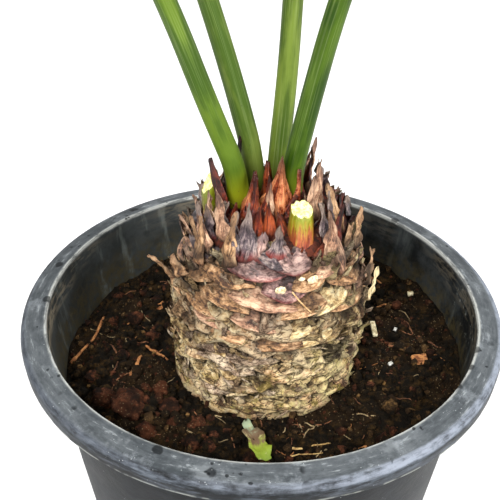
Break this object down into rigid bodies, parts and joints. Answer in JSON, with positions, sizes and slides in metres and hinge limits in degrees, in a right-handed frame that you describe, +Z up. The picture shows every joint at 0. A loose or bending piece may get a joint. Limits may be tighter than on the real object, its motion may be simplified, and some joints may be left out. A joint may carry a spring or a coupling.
{
  "type": "potted cycad plant",
  "caption": "Low cycad in a round nursery pot: barrel-shaped scaly trunk, crown of pointed red-brown scales, cut leaf stalks and long-stalked arching feather leaves.",
  "frame": {"origin": "centre of the pot's flat underside", "axes": "+Z up along the pot's axis, -Y towards the side that the picture shows, +X to the right of that view"},
  "size_m": [1.2031, 1.0949, 0.9451],
  "materials": {
    "pot": "scuffed black plastic with a blue-grey sheen and dusty patches",
    "soil": "damp dark potting soil with reddish clods and litter",
    "trunk": "weathered leaf bases, tan to yellow-olive, dry and fibrous",
    "crown_scales": "dry pointed scales, purple-brown to rust red with papery tan tips",
    "cut_stalk": "fresh pale yellow cut face over a yellow-green to orange-red body",
    "leaf_stalk": "smooth waxy green, greyer and speckled at the foot",
    "blade": "glossy mid green leaflets, paler below"
  },
  "bodies": {
    "root": {"pot": "pot", "soil": "soil", "trunk": "trunk", "crown_scales": "crown_scales", "cut_stalk_front": "cut_stalk", "cut_stalk_back_left": "cut_stalk", "leaf_stalk_front_left": "leaf_stalk", "frond_front_left": "blade", "leaf_stalk_back_left": "leaf_stalk", "frond_back_left": "blade", "leaf_stalk_back_right": "leaf_stalk", "frond_back_right": "blade", "leaf_stalk_front_right": "leaf_stalk", "frond_front_right": "blade"}
  },
  "joints": []
}
